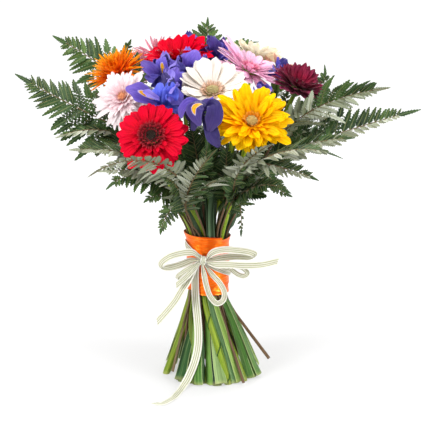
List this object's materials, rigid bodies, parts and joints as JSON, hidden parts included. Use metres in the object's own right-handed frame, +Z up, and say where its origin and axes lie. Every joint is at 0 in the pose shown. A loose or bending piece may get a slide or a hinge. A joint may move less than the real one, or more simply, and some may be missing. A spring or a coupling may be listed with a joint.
{
  "type": "mixed flower bouquet",
  "caption": "Hand-tied spiral bouquet of gerberas, irises and fern sprays, bound with a satin band and a striped ribbon bow, standing upright on its cut stem ends.",
  "frame": {"origin": "centre of the bouquet's plan box, at the level of the cut stem ends that it stands on", "axes": "+Z up along the bound stems, +X to the viewer's right across the widest spread of the fern sprays, -Y towards the viewer, the side with the bow"},
  "size_m": [0.4754, 0.348, 0.4356],
  "materials": {
    "petal_red": "soft matte petal with a faint velvet sheen",
    "petal_yellow": "soft matte petal, more orange at the base",
    "petal_white": "soft matte ivory white petal",
    "petal_light_pink": "soft matte white and pink petal",
    "petal_pink": "soft matte pink petal, deeper at the base",
    "petal_orange": "soft matte orange petal with red-orange backs",
    "petal_burgundy": "soft matte wine red petal",
    "petal_cream": "soft matte cream petal",
    "iris_violet_blue": "soft crinkled violet-blue petal with a yellow streak on each fall",
    "stem_yellow_green": "fresh yellow-green stem, finely hairy and ribbed",
    "stem_blue_green": "fresh blue-green stem with a waxy bloom and parallel veins",
    "fern_green": "leathery fern leaflets, dark green above and pale grey-green below, brown stalk",
    "satin_orange": "glossy satin ribbon",
    "ribbon_striped": "half-sheer ribbon, ivory with thin yellow-green stripes"
  },
  "bodies": {
    "root": {"fern_back": "fern_green", "fern_back_left": "fern_green", "fern_back_right": "fern_green", "fern_core_left": "fern_green", "fern_core_right": "fern_green", "fern_drop_right": "fern_green", "fern_front": "fern_green", "fern_left": "fern_green", "fern_long_right": "fern_green", "fern_low_left": "fern_green", "fern_low_right": "fern_green", "fern_lower_left": "fern_green", "fern_pale_left": "fern_green", "fern_pale_right": "fern_green", "fern_side_left": "fern_green", "fern_side_right": "fern_green", "fern_top_back": "fern_green", "fern_upper_left": "fern_green", "gerbera_burgundy_bloom": "petal_burgundy", "gerbera_burgundy_stem": "stem_yellow_green", "gerbera_cream_bloom": "petal_cream", "gerbera_cream_stem": "stem_yellow_green", "gerbera_light_pink_bloom": "petal_light_pink", "gerbera_light_pink_stem": "stem_yellow_green", "gerbera_orange_bloom": "petal_orange", "gerbera_orange_stem": "stem_yellow_green", "gerbera_peach_bloom": "petal_cream", "gerbera_peach_stem": "stem_yellow_green", "gerbera_pink_back_bloom": "petal_pink", "gerbera_pink_back_stem": "stem_yellow_green", "gerbera_pink_right_bloom": "petal_pink", "gerbera_pink_right_stem": "stem_yellow_green", "gerbera_red_back_bloom": "petal_red", "gerbera_red_back_stem": "stem_yellow_green", "gerbera_red_front_bloom": "petal_red", "gerbera_red_front_stem": "stem_yellow_green", "gerbera_white_bloom": "petal_white", "gerbera_white_stem": "stem_yellow_green", "gerbera_yellow_bloom": "petal_yellow", "gerbera_yellow_stem": "stem_yellow_green", "iris_centre_bloom": "iris_violet_blue", "iris_centre_stem": "stem_blue_green", "iris_front_bloom": "iris_violet_blue", "iris_front_stem": "stem_blue_green", "iris_hollow_bloom": "iris_violet_blue", "iris_hollow_stem": "stem_blue_green", "iris_left_bloom": "iris_violet_blue", "iris_left_stem": "stem_blue_green", "iris_middle_bloom": "iris_violet_blue", "iris_middle_stem": "stem_blue_green", "iris_rear_bloom": "iris_violet_blue", "iris_rear_stem": "stem_blue_green", "iris_right_bloom": "iris_violet_blue", "iris_right_stem": "stem_blue_green", "iris_top_bloom": "iris_violet_blue", "iris_top_stem": "stem_blue_green", "iris_upper_bloom": "iris_violet_blue", "iris_upper_stem": "stem_blue_green", "satin_band": "satin_orange", "striped_ribbon_bow": "ribbon_striped"}
  },
  "joints": []
}
